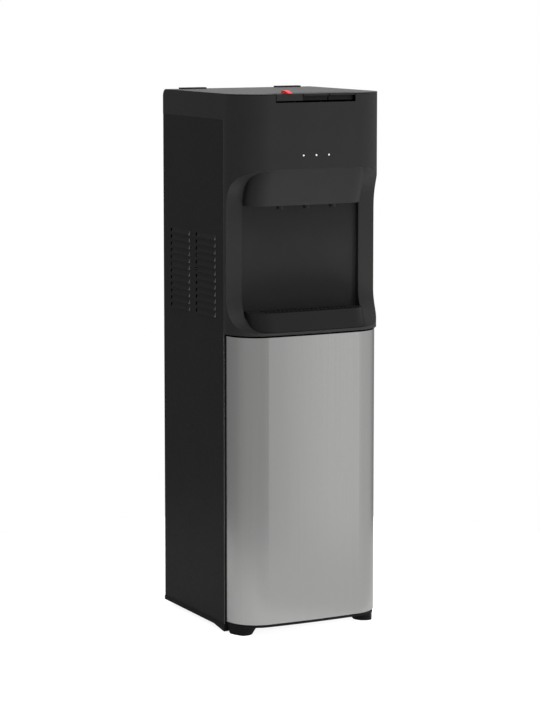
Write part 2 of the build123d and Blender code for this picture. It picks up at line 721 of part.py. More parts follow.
def splash_panel():
    """The recessed rear wall of the niche, leaning back towards the tray."""
    top_y = Y_MID + SPLASH_TOP_DEPTH
    low_y = Y_MID + SPLASH_LOW_DEPTH
    shell = [
        (SPLASH_FRONT, SPLASH_TOP), (SPLASH_FRONT, SPLASH_BOTTOM),
        (low_y + WALL, SPLASH_BOTTOM), (top_y + WALL, SPLASH_TOP),
    ]
    hollow = [
        (SPLASH_FRONT - CUT, SPLASH_TOP - WALL), (SPLASH_FRONT - CUT, SPLASH_FLOOR),
        (low_y, SPLASH_FLOOR), (top_y, SPLASH_TOP - WALL),
    ]
    outer = NICHE_HALF + WALL
    panel = prism_x(shell, -outer, outer) - prism_x(hollow, -NICHE_HALF, NICHE_HALF)
    low = SCOOP_BOTTOM + SCOOP_RISE + SPLASH_FLANGE
    high = SCOOP_TOP - SCOOP_DROP - SPLASH_FLANGE
    for side in (-1, 1):
        x0, x1 = sorted((side * (outer - WALL / 2), side * (outer + SPLASH_FLANGE)))
        panel += block(x0, x1, SPLASH_FRONT, SPLASH_FRONT + COVER_WALL, low, high)
    return panel


# Drip tray and grille

def tray_form(inset, z0, z1):
    """The tray's body between two heights: the column's plan, leaning back, trimmed to the scoop."""
    slope = TRAY_LEAN / TRAY_H
    face = column_plan(SLIDE_GAP + inset, Y_SEAM)
    body = lean(face, z0, z1, slope * (z0 - SCOOP_BOTTOM), slope * (z1 - SCOOP_BOTTOM))
    return body & scoop(-SLIDE_GAP - inset)


def tray_mouth(inset, z0, z1):
    """The tray's plan at its top edge, drawn straight up so that the grille lifts out."""
    face = Pos(0, TRAY_LEAN, 0) * column_plan(SLIDE_GAP + inset, Y_SEAM)
    return rise(face, z0, z1) & scoop(-SLIDE_GAP - inset)


def tray_tongue(inset, z0, z1):
    """The part of the tray that reaches into the niche."""
    half = TONGUE_HALF - inset
    return block(-half, half, Y_MID - SCOOP_DEPTH / 3, Y_MID + TONGUE_REACH - inset, z0, z1)


def drip_tray():
    """A catch tray that slides into the foot of the niche."""
    ledge_z = TRAY_TOP - GRILLE_T
    tongue_floor = TRAY_TOP - TONGUE_H
    tray = tray_form(0, FASCIA_BOTTOM, TRAY_TOP) + tray_tongue(0, tongue_floor, TRAY_TOP)
    well = tray_form(TRAY_WALL + TRAY_LEDGE, FASCIA_BOTTOM, TRAY_TOP)
    rebate = tray_mouth(TRAY_WALL, ledge_z, TRAY_TOP + CUT)
    tongue_well = tray_tongue(TRAY_WALL + TRAY_LEDGE, tongue_floor + TRAY_WALL, TRAY_TOP)
    tongue_rebate = tray_tongue(TRAY_WALL, ledge_z, TRAY_TOP + CUT)
    return tray - well - rebate - tongue_well - tongue_rebate


def drip_grille():
    """The slotted plate that lies in the tray's rebate."""
    inset = TRAY_WALL + SIDE_GAP
    z0 = TRAY_TOP - GRILLE_T
    plate = tray_mouth(inset, z0, TRAY_TOP) + tray_tongue(inset, z0, TRAY_TOP)
    reach = TONGUE_HALF - COLUMN_R / 2
    count = int(reach / GRILLE_SLOT_PITCH)
    front = Y_FRONT + TRAY_LEAN + TRAY_WALL + TRAY_LEDGE + GRILLE_MARGIN
    back = Y_MID + TONGUE_REACH - TRAY_WALL - TRAY_LEDGE - GRILLE_MARGIN
    middle = (front + back) / 2
    half = GRILLE_SLOT_W / 2
    slots = []
    for step in range(-count, count + 1):
        x = step * GRILLE_SLOT_PITCH
        for y0, y1 in ((front, middle - GRILLE_MARGIN / 2), (middle + GRILLE_MARGIN / 2, back)):
            slots.append(block(x - half, x + half, y0, y1, z0 - CUT, TRAY_TOP + CUT))
    return plate.cut(*slots)


# Keys

def stem_x(x):
    return x + KEY_W / 2 - KEY_STEM


def key(x, recess):
    """A push key: a top plate to the front edge, a front lip, a pivot barrel and a switch stem."""
    width = block(x - KEY_W / 2, x + KEY_W / 2, Y_FRONT - CUT, KEY_REAR, TOP - KEY_SLOT_H, TOP)
    plate = rise(plan(SIDE_GAP, KEY_REAR + SEAM_DEPTH), TOP - KEY_PLATE, TOP) & width
    front = SIDE_GAP + recess
    lip = rise(plan(front, KEY_REAR + SEAM_DEPTH), TOP - KEY_FACE, TOP - KEY_PLATE)
    lip -= rise(plan(front + KEY_WALL, KEY_REAR + SEAM_DEPTH), TOP - KEY_FACE, TOP - KEY_PLATE)
    body = plate + (lip & width)
    body += bar_x(ROD_Y, ROD_Z, x - KEY_W / 2, x + KEY_W / 2, KEY_BARREL_R)
    body += block(
        x - KEY_W / 2, x + KEY_W / 2, ROD_Y - KEY_BARREL_R, ROD_Y + KEY_BARREL_R, ROD_Z, TOP - KEY_PLATE,
    )
    body -= bar_x(ROD_Y, ROD_Z, x - KEY_W, x + KEY_W, KEY_ROD_R + RUN_FIT)
    half = KEY_STEM / 2
    sx = stem_x(x)
    return body + block(sx - half, sx + half, STEM_Y - half, STEM_Y + half, STEM_BOTTOM, TOP - KEY_PLATE)


def lock_slot():
    """The hole in the hot key for the child lock's stem, with room for its travel."""
    x = KEY_CENTRES[0]
    half = LOCK_STEM_W / 2 + SLIDE_GAP
    y0 = LOCK_STEM_FRONT - SLIDE_GAP
    y1 = LOCK_STEM_FRONT + LOCK_STEM_L + LOCK_TRAVEL + SLIDE_GAP
    return block(x - half, x + half, y0, y1, TOP - KEY_SLOT_H, TOP + CUT)


def key_hot():
    return key(KEY_CENTRES[0], 0.0) - lock_slot()


def child_lock():
    """A red tongue on the hot key, low at the front and high at the rear, with a stem and a foot."""
    x = KEY_CENTRES[0]
    y0 = Y_FRONT + SIDE_GAP
    y1 = y0 + LOCK_L
    low = TOP + SIDE_GAP
    high = low + LOCK_HIGH
    outline = [(y0, low), (y1, low), (y1, high), (y1 - LOCK_L / 2, high), (y0, low + LOCK_LOW)]
    tongue = prism_x(outline, x - LOCK_W / 2, x + LOCK_W / 2)
    rounded = tongue.edges().filter_by(Axis.X).group_by(Axis.Z)[-1]
    tongue = fillet(rounded, LOCK_LOW)
    stem_rear = LOCK_STEM_FRONT + LOCK_STEM_L
    under = TOP - KEY_PLATE - SIDE_GAP
    half = LOCK_STEM_W / 2
    stem = block(x - half, x + half, LOCK_STEM_FRONT, stem_rear, under, low)
    wide = half + 2 * SLIDE_GAP + LOCK_FOOT_H
    foot = block(x - wide, x + wide, LOCK_STEM_FRONT, stem_rear, under - LOCK_FOOT_H, under)
    return tongue + stem + foot


def key_tray():
    """A hanging tray under the keys: two ears carry the rod, the floor carries the switch board."""
    outer = KEY_SLOT_HALF + SIDE_GAP + EAR_T
    front = Y_FRONT + WALL + 2 * KEY_RECESS
    floor = block(-outer, outer, front, KEY_REAR, KEY_TRAY_TOP - KEY_TRAY_T, KEY_TRAY_TOP)
    for side in (-1, 1):
        x0, x1 = sorted((side * (outer - EAR_T), side * outer))
        floor += block(x0, x1, ROD_Y - 2 * KEY_BARREL_R, KEY_REAR, KEY_TRAY_TOP, COVER_UNDER)
    return floor - bar_x(ROD_Y, ROD_Z, -FAR, FAR, KEY_ROD_R + RUN_FIT)


def key_rod():
    outer = KEY_SLOT_HALF + SIDE_GAP + EAR_T
    return bar_x(ROD_Y, ROD_Z, -outer, outer, KEY_ROD_R)


def switch_board():
    half = KEY_PITCH + KEY_W / 2
    deep = SWITCH_W / 2
    return block(-half, half, STEM_Y - deep, STEM_Y + deep, KEY_TRAY_TOP, KEY_TRAY_TOP + BOARD_T)


def key_switches():
    """Three tact switches on the board, their plungers drawn pressed."""
    bottom = KEY_TRAY_TOP + BOARD_T
    top = STEM_BOTTOM - KEY_TRAVEL
    half = SWITCH_W / 2
    shapes = []
    for x in KEY_CENTRES:
        sx = stem_x(x)
        case = block(sx - half, sx + half, STEM_Y - half, STEM_Y + half, bottom, (bottom + top) / 2)
        shapes.append(case + post(sx, STEM_Y, (bottom + top) / 2, top, half / 2))
    return group(shapes)


# Indicator lamps

def bow_y(x, inset):
    """The front surface's Y at a place across the bow."""
    radius = BOW_R - inset
    return Y_FRONT + inset + radius - sqrt(radius ** 2 - x ** 2)


def indicator_lenses():
    shapes = []
    for x in (-LAMP_PITCH, 0, LAMP_PITCH):
        lens = bar_y(x, LAMP_Z, bow_y(x, 0), LAMP_BOARD_Y, LAMP_R)
        shapes.append(lens + bar_y(x, LAMP_Z, bow_y(x, WALL) + SIDE_GAP, LAMP_BOARD_Y, LAMP_FLANGE_R))
    return group(shapes)


def lamp_board():
    half = LAMP_BOARD_H / 2
    return block(
        -LAMP_BOARD_HALF, LAMP_BOARD_HALF, LAMP_BOARD_Y, LAMP_BOARD_Y + BOARD_T, LAMP_Z - half, LAMP_Z + half,
    )


# Taps

def spouts():
    tip = NICHE_TOP - SPOUT_DROP
    shapes = []
    for x in KEY_CENTRES:
        spout = post(x, SPOUT_Y, tip, VALVE_BOTTOM, SPOUT_R)
        spout += post(x, SPOUT_Y, COLUMN_FLOOR, VALVE_BOTTOM, SPOUT_FLANGE_R)
        shapes.append(spout - post(x, SPOUT_Y, tip - CUT, VALVE_BOTTOM + CUT, SPOUT_BORE_R))
    return group(shapes)


def tap_valves():
    """Three solenoid valves over the spouts: a body, a round coil and a rear inlet."""
    shapes = []
    for x in KEY_CENTRES:
        split = VALVE_BOTTOM + VALVE_H - VALVE_COIL_H
        body = block(x - VALVE_W / 2, x + VALVE_W / 2, VALVE_FRONT, VALVE_REAR, VALVE_BOTTOM, split)
        body += post(x, SPOUT_Y, split, VALVE_BOTTOM + VALVE_H, VALVE_W / 2)
        shapes.append(body + bar_y(x, INLET_Z, VALVE_REAR, VALVE_REAR + STUB_L, HOSE_R))
    return group(shapes)


def tap_hoses():
    """Hoses from the valves to the tanks: a bent one to the hot tank, two straight ones to the cold tank."""
    start = VALVE_REAR + STUB_L
    hot_end = HOT_Y - HOT_R - STUB_L
    reach = hot_end - start
    hot_x = KEY_CENTRES[0]
    hot = tube(
        [
            (hot_x, start, INLET_Z), (hot_x, start + reach * HOSE_END_RUN, INLET_Z),
            (HOT_X, hot_end - reach * HOSE_END_RUN, INLET_Z), (HOT_X, hot_end, INLET_Z),
        ],
        HOSE_R, HOSE_BEND / 2,
    )
    return group([hot] + [bar_y(x, INLET_Z, start, FOAM_FRONT, HOSE_R) for x in KEY_CENTRES[1:]])


# Shelves

def mid_shelf():
    """The steel shelf over the bottle compartment, with holes for the probe hose."""
    shelf = block(-INNER_HALF, INNER_HALF, LINER_FRONT, Y_BACK_IN, FASCIA_BOTTOM, SHELF_TOP)
    return shelf - post(PUMP_X, PUMP_Y, FASCIA_BOTTOM - CUT, SHELF_TOP + CUT, HOSE_R + SIDE_GAP)


def tank_shelf():
    """The shelf under the tanks, with its front lip and holes for the pipes."""
    shelf = block(-INNER_HALF, INNER_HALF, SHELF_FRONT, Y_BACK_IN, TANK_SHELF_UNDER, TANK_FLOOR)
    lip_low = TANK_SHELF_UNDER - FLANGE
    shelf += block(-INNER_HALF, INNER_HALF, SHELF_FRONT, SHELF_FRONT + SHELF_T, lip_low, TANK_FLOOR)
    shelf -= post(HOT_X, HOT_Y, TANK_SHELF_UNDER - CUT, TANK_FLOOR + CUT, DRAIN_BORE_R + SIDE_GAP)
    shelf -= post(*suction_place(), TANK_SHELF_UNDER - CUT, TANK_FLOOR + CUT, LINE_R + SIDE_GAP)
    return shelf - post(*feed_place(), TANK_SHELF_UNDER - CUT, TANK_FLOOR + CUT, HOSE_R + SIDE_GAP)


# Tanks

def hot_tank():
    """A stainless tank with a front outlet, a link to the cold tank and a drain pipe through the shelf."""
    tank = post(HOT_X, HOT_Y, TANK_FLOOR, TANK_FLOOR + HOT_H, HOT_R)
    tank += bar_y(HOT_X, INLET_Z, HOT_Y - HOT_R - STUB_L, HOT_Y, HOSE_R)
    tank += bar_x(HOT_Y, TANK_FLOOR + HOT_H - HOT_LINK_DROP, HOT_X, FOAM_LEFT, HOSE_R)
    tank -= post(HOT_X, HOT_Y, TANK_FLOOR + HOT_SKIN, TANK_FLOOR + HOT_H - HOT_SKIN, HOT_R - HOT_SKIN)
    return tank


def heater_band():
    z0 = TANK_FLOOR + HEATER_RISE
    z1 = z0 + HEATER_H
    inner = HOT_R + SIDE_GAP
    band = post(HOT_X, HOT_Y, z0, z1, inner + HEATER_T) - post(HOT_X, HOT_Y, z0 - CUT, z1 + CUT, inner)
    split = STUB_L / 2
    return band - block(HOT_X - split, HOT_X + split, HOT_Y - 2 * HOT_R, HOT_Y, z0 - CUT, z1 + CUT)


def cold_tank():
    tank = post(FOAM_X, FOAM_Y, COLD_BOTTOM, COLD_TOP, COLD_R)
    return tank - post(FOAM_X, FOAM_Y, COLD_BOTTOM + COLD_SKIN, COLD_TOP - COLD_SKIN, COLD_R - COLD_SKIN)


def evaporator_sleeve():
    """The evaporator round the cold tank, drawn as a plain sleeve."""
    sleeve = post(FOAM_X, FOAM_Y, COLD_BOTTOM, COLD_TOP, SLEEVE_R)
    return sleeve - post(FOAM_X, FOAM_Y, COLD_BOTTOM - CUT, COLD_TOP + CUT, COLD_R + SIDE_GAP)


def foam_tub():
    """The foam box round the cold tank."""
    tub = block(FOAM_LEFT, FOAM_RIGHT, FOAM_FRONT, FOAM_REAR, TANK_FLOOR, FOAM_SPLIT)
    tub -= post(FOAM_X, FOAM_Y, COLD_BOTTOM, FOAM_SPLIT + CUT, SLEEVE_R + SIDE_GAP)
    tub -= post(*suction_place(), TANK_FLOOR - CUT, COLD_BOTTOM + CUT, LINE_R + SIDE_GAP)
    return tub


def foam_lid():
    return block(FOAM_LEFT, FOAM_RIGHT, FOAM_FRONT, FOAM_REAR, FOAM_SPLIT, FOAM_TOP)


# Refrigeration

def suction_place():
    return COMPRESSOR_X + SUCTION_OFFSET, COMPRESSOR_Y


def compressor():
    """A hermetic compressor: a rounded shell on a foot plate, with two pipe stubs."""
    shell = post(COMPRESSOR_X, COMPRESSOR_Y, PLATE_TOP, COMPRESSOR_TOP, COMPRESSOR_R)
    shell = fillet(shell.edges().filter_by(GeomType.CIRCLE), COMPRESSOR_ROUND)
    half_w = COMPRESSOR_PLATE_W / 2
    half_d = COMPRESSOR_PLATE_D / 2
    shell += block(
        COMPRESSOR_X - half_w, COMPRESSOR_X + half_w, COMPRESSOR_Y - half_d, COMPRESSOR_Y + half_d,
        PLATE_BOTTOM, PLATE_TOP,
    )
    shell += post(*suction_place(), COMPRESSOR_TOP - COMPRESSOR_ROUND, COMPRESSOR_TOP + STUB_L, LINE_R)
    end = COMPRESSOR_Y + COMPRESSOR_R + STUB_L
    return shell + bar_y(COMPRESSOR_X, DISCHARGE_Z, COMPRESSOR_Y, end, LINE_R)


def compressor_grommets():
    half_w = COMPRESSOR_PLATE_W / 2 - GROMMET_INSET
    half_d = COMPRESSOR_PLATE_D / 2 - GROMMET_INSET
    return group(
        post(COMPRESSOR_X + sx * half_w, COMPRESSOR_Y + sy * half_d, SHELF_TOP, PLATE_BOTTOM, GROMMET_R)
        for sx in (-1, 1) for sy in (-1, 1)
    )


def suction_line():
    return post(*suction_place(), COMPRESSOR_TOP + STUB_L, COLD_BOTTOM, LINE_R)


def discharge_line():
    start = COMPRESSOR_Y + COMPRESSOR_R + STUB_L
    return bar_y(COMPRESSOR_X, DISCHARGE_Z, start, Y_REAR, LINE_R)


def condenser():
    """A serpentine tube behind the cabinet with upright wires on both faces."""
    points = [
        (COMPRESSOR_X, Y_REAR, DISCHARGE_Z),
        (COMPRESSOR_X, CONDENSER_Y, DISCHARGE_Z),
        (COMPRESSOR_X, CONDENSER_Y, CONDENSER_HIGH),
    ]
    z = CONDENSER_HIGH
    side = -1
    for run in range(CONDENSER_RUNS):
        points.append((side * CONDENSER_HALF, CONDENSER_Y, z))
        if run < CONDENSER_RUNS - 1:
            z -= CONDENSER_PITCH
            points.append((side * CONDENSER_HALF, CONDENSER_Y, z))
            side = -side
    shapes = [tube(points, CONDENSER_TUBE_R, CONDENSER_BEND_R)]
    offset = CONDENSER_TUBE_R + WIRE_R + WIRE_GAP
    low = CONDENSER_LOW - CONDENSER_BEND_R
    high = CONDENSER_HIGH - CONDENSER_BEND_R
    reach = SPACER_X - SPACER_W / 2 - 2 * WIRE_R
    count = int(reach / WIRE_PITCH)
    for step in range(-count, count + 1):
        for y in (CONDENSER_Y - offset, CONDENSER_Y + offset):
            shapes.append(post(step * WIRE_PITCH, y, low, high, WIRE_R))
    return group(shapes)


def wall_spacers():
    """Four posts from the rear sheet that carry the condenser and keep it off the wall."""
    shapes = []
    half_w = SPACER_W / 2
    half_h = SPACER_H / 2
    for x in (-SPACER_X, SPACER_X):
        for z in (CONDENSER_LOW, CONDENSER_HIGH - CONDENSER_PITCH):
            spacer = block(x - half_w, x + half_w, Y_BACK_OUT, Y_WALL, z - half_h, z + half_h)
            hole = bar_x(CONDENSER_Y, z, x - SPACER_W, x + SPACER_W, CONDENSER_TUBE_R + SIDE_GAP)
            shapes.append(spacer - hole)
    return group(shapes)


# Pump, probe and power box

def feed_place():
    return FOAM_LEFT + FOAM_FLOOR, PUMP_Y


def water_pump():
    """A diaphragm pump on rubber feet: a square head, a round motor, an inlet below and an outlet above."""
    x0 = PUMP_X - PUMP_W / 2
    motor_y = PUMP_Y - PUMP_D / 2
    head = block(x0, x0 + PUMP_W, motor_y, motor_y + PUMP_D, PUMP_BOTTOM, PUMP_TOP)
    head += bar_y(PUMP_X, PUMP_BOTTOM + PUMP_H / 2, motor_y - MOTOR_H, motor_y, MOTOR_R)
    for sx in (-1, 1):
        for sy in (-1, 1):
            x = PUMP_X + sx * (PUMP_W / 2 - PUMP_FOOT_R)
            y = PUMP_Y + sy * (PUMP_D / 2 - PUMP_FOOT_R)
            head += post(x, y, SHELF_TOP, PUMP_BOTTOM, PUMP_FOOT_R)
    return head


def pump_hose():
    """The hose from the probe's cap to the pump's inlet."""
    return post(PUMP_X, PUMP_Y, PROBE_TOP, PUMP_BOTTOM, HOSE_R)


def feed_hose():
    """The hose from the pump's outlet to the foot of the cold tank."""
    fx, fy = feed_place()
    level = (PUMP_TOP + TANK_SHELF_UNDER) / 2
    points = [(PUMP_X, PUMP_Y, PUMP_TOP), (PUMP_X, PUMP_Y, level), (fx, fy, level), (fx, fy, TANK_FLOOR)]
    return tube(points, HOSE_R, HOSE_BEND)


def bottle_probe():
    """The cap and dip tube that go into the bottle, parked in the rear corner."""
    cap_low = PROBE_TOP - PROBE_CAP_H
    probe = post(PUMP_X, PUMP_Y, cap_low, PROBE_TOP, PROBE_CAP_R)
    return probe + post(PUMP_X, PUMP_Y, cap_low - PROBE_L, cap_low, PROBE_TUBE_R)


def power_box():
    x0 = -INNER_HALF + TANK_SIDE_GAP
    return block(x0, x0 + POWER_W, SHELF_FRONT, SHELF_FRONT + POWER_D, SHELF_TOP, SHELF_TOP + POWER_H)


# Bottle compartment

def compartment_liner():
    """A floor and three walls round the bottle, with the bracket that holds the parked probe."""
    liner = block(-LINER_HALF, LINER_HALF, LINER_FRONT, LINER_REAR, BASE_TOP, LINER_TOP)
    inner = LINER_HALF - LINER_T
    wall = LINER_REAR - LINER_T
    liner -= block(-inner, inner, LINER_FRONT - CUT, wall, BASE_TOP + LINER_T, LINER_TOP + CUT)
    z1 = PROBE_TOP - PROBE_CAP_H
    z0 = z1 - CRADLE_T
    bracket = block(-inner, PUMP_X + PROBE_TUBE_R, PUMP_Y - PROBE_CAP_R, wall, z0, z1)
    way_in = PROBE_TUBE_R + SIDE_GAP
    mouth = PUMP_X + 2 * PROBE_TUBE_R
    bracket -= post(PUMP_X, PUMP_Y, z0 - CUT, z1 + CUT, way_in)
    bracket -= block(PUMP_X, mouth, PUMP_Y - way_in, PUMP_Y + way_in, z0 - CUT, z1 + CUT)
    return liner + bracket


# Door

def hinge_corner():
    """What the door loses at its hinge edge so that the edge turns clear of the side panel."""
    corner = block(HINGE_X, HALF, HINGE_Y, Y_SEAM, 0, FASCIA_BOTTOM)
    return corner - post(HINGE_X, HINGE_Y, -CUT, FASCIA_BOTTOM + CUT, HINGE_ROUND)


def door_band(outer, inner, z0, z1):
    """A strip of the door's plan between two insets."""
    band = rise(plan(outer, DOOR_REAR), z0, z1) - rise(plan(inner, DOOR_REAR + CUT), z0 - CUT, z1 + CUT)
    return band - hinge_corner()


def door_skin():
    return door_band(DOOR_INSET, DOOR_INSET + DOOR_SKIN, DOOR_BOTTOM, DOOR_TOP)


def door_cap(z0, z1):
    """An end cap between the skin and the inner panel, bored for the hinge pin."""
    outer = DOOR_INSET + DOOR_SKIN + SIDE_GAP
    cap = door_band(outer, DOOR_INSET + DOOR_THICK, z0, z1)
    cap += post(HINGE_X, HINGE_Y, z0, z1, HINGE_BOSS_R)
    return cap - post(HINGE_X, HINGE_Y, z0 - CUT, z1 + CUT, HINGE_PIN_R + RUN_FIT)


def door_cap_bottom():
    return door_cap(DOOR_BOTTOM, DOOR_BOTTOM + DOOR_CAP_H)


def door_cap_top():
    return door_cap(DOOR_TOP - DOOR_CAP_H, DOOR_TOP)


def door_inner():
    """The moulded inner panel with rear flanges that meet the skin."""
    z0 = DOOR_BOTTOM + DOOR_CAP_H
    z1 = DOOR_TOP - DOOR_CAP_H
    far = DOOR_INSET + DOOR_THICK
    panel = door_band(far - DOOR_LINER_T, far, z0, z1)
    edge = DOOR_INSET + DOOR_SKIN + SIDE_GAP
    for side in (-1, 1):
        x0, x1 = sorted((side * (HALF - far), side * (HALF - edge)))
        panel += block(x0, x1, DOOR_REAR - DOOR_LINER_T, DOOR_REAR, z0, z1) - hinge_corner()
    return panel


def door_magnet():
    """A magnet strip on the free edge that holds to the side panel's steel flange."""
    x = -(HALF - DOOR_INSET - DOOR_SKIN - SIDE_GAP - HINGE_BOSS_R)
    z = (DOOR_BOTTOM + DOOR_TOP) / 2
    half_w = MAGNET_W / 2
    half_l = MAGNET_L / 2
    return block(x - half_w, x + half_w, DOOR_REAR, DOOR_REAR + MAGNET_T, z - half_l, z + half_l)


def hinge_lower():
    plate = Pos(0, 0, BASE_TOP - HINGE_PLATE_T) * hinge_plate(0)
    return plate + post(HINGE_X, HINGE_Y, BASE_TOP, DOOR_BOTTOM + HINGE_PIN_L, HINGE_PIN_R)


def hinge_upper():
    plate = Pos(0, 0, FASCIA_BOTTOM - HINGE_PLATE_T) * hinge_plate(0)
    return plate + post(HINGE_X, HINGE_Y, DOOR_TOP - HINGE_PIN_L, FASCIA_BOTTOM - HINGE_PLATE_T, HINGE_PIN_R)


# Rear fittings

def rocker_place(step):
    return BEZEL_X + step * ROCKER_PITCH / 2


def switch_bezel():
    """A flanged frame in the rear sheet with two wells for the rockers."""
    y_out = Y_BACK_OUT + BEZEL_T
    frame = Pos(BEZEL_X, Y_BACK_OUT + BEZEL_T / 2, BEZEL_Z) * Box(BEZEL_W, BEZEL_T, BEZEL_H)
    body = block(
        BEZEL_X - BEZEL_W / 2 + BEZEL_T, BEZEL_X + BEZEL_W / 2 - BEZEL_T, y_out - BEZEL_DEPTH, y_out,
        BEZEL_Z - BEZEL_H / 2 + BEZEL_T, BEZEL_Z + BEZEL_H / 2 - BEZEL_T,
    )
    frame += body
    floor = y_out - BEZEL_DEPTH + BEZEL_T
    half_w = ROCKER_W / 2 + SIDE_GAP
    half_h = ROCKER_H / 2 + ROCKER_GAP
    for step in (-1, 1):
        x = rocker_place(step)
        frame -= block(x - half_w, x + half_w, floor, y_out + CUT, BEZEL_Z - half_h, BEZEL_Z + half_h)
        pin = half_w + ROCKER_PIN_L + RUN_FIT
        frame -= bar_x(ROCKER_Y, BEZEL_Z, x - pin, x + pin, ROCKER_PIN_R + RUN_FIT)
    return frame


def rocker(step):
    """A rocker with a shallow V face, turning on two side pins."""
    x = rocker_place(step)
    half = ROCKER_H / 2
    heel = half - ROCKER_HEEL
    y_in = ROCKER_Y - ROCKER_T / 2
    y_out = ROCKER_Y + ROCKER_T / 2
    outline = [(y_in, -heel), (y_in, heel), (y_out, half), (y_out - ROCKER_DISH, 0), (y_out, -half)]
    body = prism_x([(y, BEZEL_Z + z) for y, z in outline], x - ROCKER_W / 2, x + ROCKER_W / 2)
    reach = ROCKER_W / 2 + ROCKER_PIN_L
    return body + bar_x(ROCKER_Y, BEZEL_Z, x - reach, x + reach, ROCKER_PIN_R)


def drain_port():
    """The drain elbow from the hot tank to a spigot through the rear sheet."""
    drop = tube(
        [(HOT_X, HOT_Y, TANK_FLOOR), (HOT_X, HOT_Y, DRAIN_Z), (HOT_X, Y_BACK_IN, DRAIN_Z)],
        DRAIN_BORE_R, 3 * DRAIN_BORE_R,
    )
    spigot = bar_y(HOT_X, DRAIN_Z, Y_BACK_IN - DRAIN_FLANGE_T, DRAIN_END, DRAIN_R)
    spigot += bar_y(HOT_X, DRAIN_Z, Y_BACK_OUT, Y_BACK_OUT + DRAIN_FLANGE_T, DRAIN_FLANGE_R)
    spigot -= bar_y(HOT_X, DRAIN_Z, Y_BACK_OUT, DRAIN_END + CUT, DRAIN_BORE_R)
    return drop + spigot


def drain_cap():
    """A cup-shaped cap over the spigot's end."""
    y0 = Y_BACK_OUT + DRAIN_FLANGE_T + SIDE_GAP
    y1 = y0 + DRAIN_CAP_L
    inner = DRAIN_R + RUN_FIT
    cap = bar_y(HOT_X, DRAIN_Z, y0, y1, inner + DRAIN_CAP_WALL)
    return cap - bar_y(HOT_X, DRAIN_Z, y0 - CUT, DRAIN_END + SIDE_GAP, inner)


def cord_gland():
    """The bush in the rear sheet where the supply lead would enter."""
    gland = bar_y(GLAND_X, GLAND_Z, Y_BACK_IN - GLAND_FLANGE_T, Y_BACK_OUT + GLAND_FLANGE_T, GLAND_R)
    gland += bar_y(GLAND_X, GLAND_Z, Y_BACK_OUT, Y_BACK_OUT + GLAND_FLANGE_T, GLAND_FLANGE_R)
    return gland - bar_y(GLAND_X, GLAND_Z, Y_BACK_IN - FLANGE, Y_REAR + FLANGE, GLAND_BORE_R)


NODES = {
    "base_pan": base_pan(),
    "front_foot_left": front_foot(-1),
    "front_foot_right": front_foot(1),
    "rear_feet": rear_feet(),
    "side_panel_left": side_panel(-1),
    "side_panel_right": side_panel(1),
    "back_panel": back_panel(),
    "back_screws": back_screws(),
    "top_cover": top_cover(),
    "front_fascia": front_fascia(),
    "splash_panel": splash_panel(),
    "drip_tray": drip_tray(),
    "drip_grille": drip_grille(),
    "key_hot": key_hot(),
    "key_room": key(KEY_CENTRES[1], KEY_RECESS),
    "key_cold": key(KEY_CENTRES[2], KEY_RECESS),
    "child_lock": child_lock(),
    "key_tray": key_tray(),
    "key_rod": key_rod(),
    "switch_board": switch_board(),
    "key_switches": key_switches(),
    "indicator_lenses": indicator_lenses(),
    "lamp_board": lamp_board(),
    "spouts": spouts(),
    "tap_valves": tap_valves(),
    "tap_hoses": tap_hoses(),
    "mid_shelf": mid_shelf(),
    "tank_shelf": tank_shelf(),
    "hot_tank": hot_tank(),
    "heater_band": heater_band(),
    "cold_tank": cold_tank(),
    "evaporator_sleeve": evaporator_sleeve(),
    "foam_tub": foam_tub(),
    "foam_lid": foam_lid(),
    "compressor": compressor(),
    "compressor_grommets": compressor_grommets(),
    "suction_line": suction_line(),
    "discharge_line": discharge_line(),
    "condenser": condenser(),
    "wall_spacers": wall_spacers(),
    "water_pump": water_pump(),
    "pump_hose": pump_hose(),
    "feed_hose": feed_hose(),
    "bottle_probe": bottle_probe(),
    "power_box": power_box(),
    "compartment_liner": compartment_liner(),
    "door_skin": door_skin(),
    "door_inner": door_inner(),
    "door_cap_top": door_cap_top(),
    "door_cap_bottom": door_cap_bottom(),
    "door_magnet": door_magnet(),
    "hinge_lower": hinge_lower(),
    "hinge_upper": hinge_upper(),
    "switch_bezel": switch_bezel(),
    "rocker_heat": rocker(-1),
    "rocker_cool": rocker(1),
    "drain_port": drain_port(),
    "drain_cap": drain_cap(),
    "cord_gland": cord_gland(),
}

os.makedirs("parts", exist_ok=True)
for name, shape in NODES.items():
    export_step(shape, f"parts/{name}.step")
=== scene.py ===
import math
import bmesh
import bpy
from mathutils import Matrix, Vector


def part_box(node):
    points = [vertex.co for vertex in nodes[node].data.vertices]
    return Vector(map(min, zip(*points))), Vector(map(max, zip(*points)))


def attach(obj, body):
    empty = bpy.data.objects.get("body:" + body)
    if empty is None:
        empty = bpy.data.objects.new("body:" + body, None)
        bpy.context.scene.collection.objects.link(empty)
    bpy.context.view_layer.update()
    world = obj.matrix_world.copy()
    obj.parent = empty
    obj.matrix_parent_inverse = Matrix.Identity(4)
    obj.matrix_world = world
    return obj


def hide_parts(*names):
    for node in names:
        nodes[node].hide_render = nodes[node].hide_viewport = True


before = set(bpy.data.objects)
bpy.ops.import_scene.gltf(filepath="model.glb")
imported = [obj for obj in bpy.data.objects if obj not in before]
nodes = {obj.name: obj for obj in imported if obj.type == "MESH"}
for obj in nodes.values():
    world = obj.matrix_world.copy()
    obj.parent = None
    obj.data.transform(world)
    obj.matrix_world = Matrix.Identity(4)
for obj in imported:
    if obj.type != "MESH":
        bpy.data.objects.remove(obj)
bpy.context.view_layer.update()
scene = bpy.context.scene

MM = 0.001

